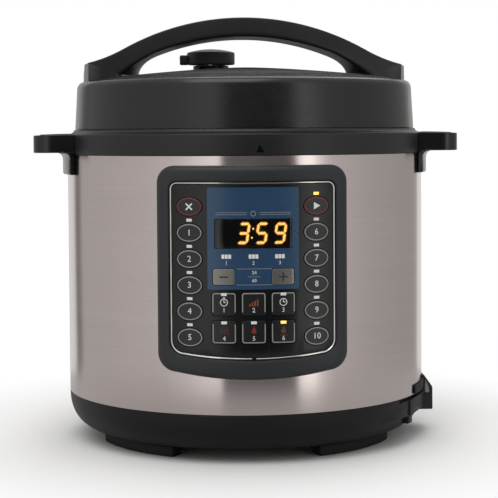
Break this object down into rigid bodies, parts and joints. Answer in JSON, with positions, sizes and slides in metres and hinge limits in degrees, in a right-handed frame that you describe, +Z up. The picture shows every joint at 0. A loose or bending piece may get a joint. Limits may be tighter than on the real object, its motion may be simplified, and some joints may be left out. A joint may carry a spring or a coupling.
{
  "type": "electric pressure cooker",
  "caption": "Countertop electric pressure cooker: brushed steel body, black base and collar, bayonet lid with an arched handle, steam valve and a curved control panel.",
  "frame": {"origin": "on the worktop at the centre of the footprint; the pot's axis is 11.6 mm in front of it, because the condensation cup reaches further back than the panel reaches forward", "axes": "+Z up along the pot's axis, -Y to the front where the control panel is, +X to the right where the power inlet is"},
  "size_m": [0.3232, 0.3128, 0.3234],
  "materials": {
    "black_plastic": "fine-grained satin moulding",
    "satin_black": "satin dark grey",
    "panel_black": "smooth satin panel film, blue behind the display",
    "brushed_steel": "vertical fine brushing, warm grey",
    "pot_steel": "bright satin",
    "spring_steel": "bright",
    "bright_trim": "bright silver line",
    "aluminium": "satin",
    "cast_aluminium": "as cast",
    "zinc_sheet": "plain zinc-plated sheet",
    "rubber": "matt black",
    "silicone": "translucent white silicone",
    "sleeve": "white glass-fibre sleeve",
    "clear_plastic": "clear moulded plastic",
    "display_window": "dark smoked window",
    "key_black": "satin black with a light outline",
    "key_silver": "satin champagne silver",
    "circuit_board": "green solder mask"
  },
  "bodies": {
    "housing": {"base_shell": "black_plastic", "bottom_plate": "zinc_sheet", "foot_1": "rubber", "foot_2": "rubber", "foot_3": "rubber", "foot_4": "rubber", "steel_housing": "brushed_steel", "upper_collar": "black_plastic", "side_handle_right": "black_plastic", "side_handle_left": "black_plastic", "outer_pot": "aluminium", "heating_plate": "cast_aluminium", "sensor_spring": "spring_steel", "pressure_switch": "black_plastic", "thermal_fuse": "sleeve", "power_board": "circuit_board", "inlet_housing": "black_plastic", "inlet_socket": "black_plastic", "collector_bracket": "black_plastic", "control_bezel": "satin_black", "panel_trim": "bright_trim", "faceplate": "panel_black", "display_window": "display_window", "display_module": "black_plastic", "control_board": "circuit_board"},
    "inner_pot": {"inner_pot": "pot_steel"},
    "thermal_sensor": {"thermal_sensor": "aluminium"},
    "lid_seal": {"sealing_ring": "silicone", "seal_rack": "spring_steel"},
    "lid": {"lid_cover": "black_plastic", "lid_plate": "aluminium", "lid_screw": "spring_steel", "lid_handle": "black_plastic", "vent_pipe": "spring_steel", "anti_block_cap": "spring_steel", "float_gasket": "silicone"},
    "valve_knob": {"valve_knob": "black_plastic"},
    "float_pin": {"float_pin": "spring_steel"},
    "condensation_cup": {"condensation_cup": "clear_plastic"},
    "key_left_1": {"key_left_1": "key_black"},
    "key_left_2": {"key_left_2": "key_black"},
    "key_left_3": {"key_left_3": "key_black"},
    "key_left_4": {"key_left_4": "key_black"},
    "key_left_5": {"key_left_5": "key_black"},
    "key_left_6": {"key_left_6": "key_black"},
    "key_right_1": {"key_right_1": "key_black"},
    "key_right_2": {"key_right_2": "key_black"},
    "key_right_3": {"key_right_3": "key_black"},
    "key_right_4": {"key_right_4": "key_black"},
    "key_right_5": {"key_right_5": "key_black"},
    "key_right_6": {"key_right_6": "key_black"},
    "key_program_1": {"key_program_1": "key_black"},
    "key_program_2": {"key_program_2": "key_black"},
    "key_program_3": {"key_program_3": "key_black"},
    "key_program_4": {"key_program_4": "key_black"},
    "key_program_5": {"key_program_5": "key_black"},
    "key_program_6": {"key_program_6": "key_black"},
    "key_minus": {"key_minus": "key_silver"},
    "key_plus": {"key_plus": "key_silver"}
  },
  "joints": [
    {"name": "lid_lift", "type": "slide", "parent": "housing", "child": "lid_seal", "axis": [0, 0, 1], "range_m": [0, 0.3]},
    {"name": "lid_turn", "type": "hinge", "parent": "lid_seal", "child": "lid", "pos_m": [0, -0.0116, 0.24], "axis": [0, 0, 1], "range_deg": [-30, 0]},
    {"name": "pot_lift", "type": "slide", "parent": "housing", "child": "inner_pot", "axis": [0, 0, 1], "range_m": [0, 0.18]},
    {"name": "valve_turn", "type": "hinge", "parent": "lid", "child": "valve_knob", "pos_m": [-0.025, 0.0334, 0.2903], "axis": [0, 0, 1], "range_deg": [-75, 0]},
    {"name": "float_rise", "type": "slide", "parent": "lid", "child": "float_pin", "axis": [0, 0, 1], "range_m": [0, 0.005]},
    {"name": "sensor_press", "type": "slide", "parent": "housing", "child": "thermal_sensor", "axis": [0, 0, 1], "range_m": [-0.0015, 0], "stiffness_N_per_m": 1500, "deforming": ["sensor_spring"]},
    {"name": "cup_slide", "type": "slide", "parent": "housing", "child": "condensation_cup", "axis": [0, 1, 0], "range_m": [0, 0.045]},
    {"name": "press_left_1", "type": "slide", "parent": "housing", "child": "key_left_1", "axis": [0.3123, 0.95, 0], "range_m": [0, 0.0008], "stiffness_N_per_m": 300},
    {"name": "press_left_2", "type": "slide", "parent": "housing", "child": "key_left_2", "axis": [0.3123, 0.95, 0], "range_m": [0, 0.0008], "stiffness_N_per_m": 300},
    {"name": "press_left_3", "type": "slide", "parent": "housing", "child": "key_left_3", "axis": [0.3123, 0.95, 0], "range_m": [0, 0.0008], "stiffness_N_per_m": 300},
    {"name": "press_left_4", "type": "slide", "parent": "housing", "child": "key_left_4", "axis": [0.3123, 0.95, 0], "range_m": [0, 0.0008], "stiffness_N_per_m": 300},
    {"name": "press_left_5", "type": "slide", "parent": "housing", "child": "key_left_5", "axis": [0.3123, 0.95, 0], "range_m": [0, 0.0008], "stiffness_N_per_m": 300},
    {"name": "press_left_6", "type": "slide", "parent": "housing", "child": "key_left_6", "axis": [0.3123, 0.95, 0], "range_m": [0, 0.0008], "stiffness_N_per_m": 300},
    {"name": "press_right_1", "type": "slide", "parent": "housing", "child": "key_right_1", "axis": [-0.3123, 0.95, 0], "range_m": [0, 0.0008], "stiffness_N_per_m": 300},
    {"name": "press_right_2", "type": "slide", "parent": "housing", "child": "key_right_2", "axis": [-0.3123, 0.95, 0], "range_m": [0, 0.0008], "stiffness_N_per_m": 300},
    {"name": "press_right_3", "type": "slide", "parent": "housing", "child": "key_right_3", "axis": [-0.3123, 0.95, 0], "range_m": [0, 0.0008], "stiffness_N_per_m": 300},
    {"name": "press_right_4", "type": "slide", "parent": "housing", "child": "key_right_4", "axis": [-0.3123, 0.95, 0], "range_m": [0, 0.0008], "stiffness_N_per_m": 300},
    {"name": "press_right_5", "type": "slide", "parent": "housing", "child": "key_right_5", "axis": [-0.3123, 0.95, 0], "range_m": [0, 0.0008], "stiffness_N_per_m": 300},
    {"name": "press_right_6", "type": "slide", "parent": "housing", "child": "key_right_6", "axis": [-0.3123, 0.95, 0], "range_m": [0, 0.0008], "stiffness_N_per_m": 300},
    {"name": "press_program_1", "type": "slide", "parent": "housing", "child": "key_program_1", "axis": [0.1452, 0.9894, 0], "range_m": [0, 0.0008], "stiffness_N_per_m": 300},
    {"name": "press_program_2", "type": "slide", "parent": "housing", "child": "key_program_2", "axis": [0, 1, 0], "range_m": [0, 0.0008], "stiffness_N_per_m": 300},
    {"name": "press_program_3", "type": "slide", "parent": "housing", "child": "key_program_3", "axis": [-0.1452, 0.9894, 0], "range_m": [0, 0.0008], "stiffness_N_per_m": 300},
    {"name": "press_program_4", "type": "slide", "parent": "housing", "child": "key_program_4", "axis": [0.1452, 0.9894, 0], "range_m": [0, 0.0008], "stiffness_N_per_m": 300},
    {"name": "press_program_5", "type": "slide", "parent": "housing", "child": "key_program_5", "axis": [0, 1, 0], "range_m": [0, 0.0008], "stiffness_N_per_m": 300},
    {"name": "press_program_6", "type": "slide", "parent": "housing", "child": "key_program_6", "axis": [-0.1452, 0.9894, 0], "range_m": [0, 0.0008], "stiffness_N_per_m": 300},
    {"name": "press_minus", "type": "slide", "parent": "housing", "child": "key_minus", "axis": [0.1452, 0.9894, 0], "range_m": [0, 0.0008], "stiffness_N_per_m": 300},
    {"name": "press_plus", "type": "slide", "parent": "housing", "child": "key_plus", "axis": [-0.1452, 0.9894, 0], "range_m": [0, 0.0008], "stiffness_N_per_m": 300}
  ],
  "couplings": [
    {"joint": "pot_lift", "follows": "lid_lift", "ratio": 0.6}
  ]
}
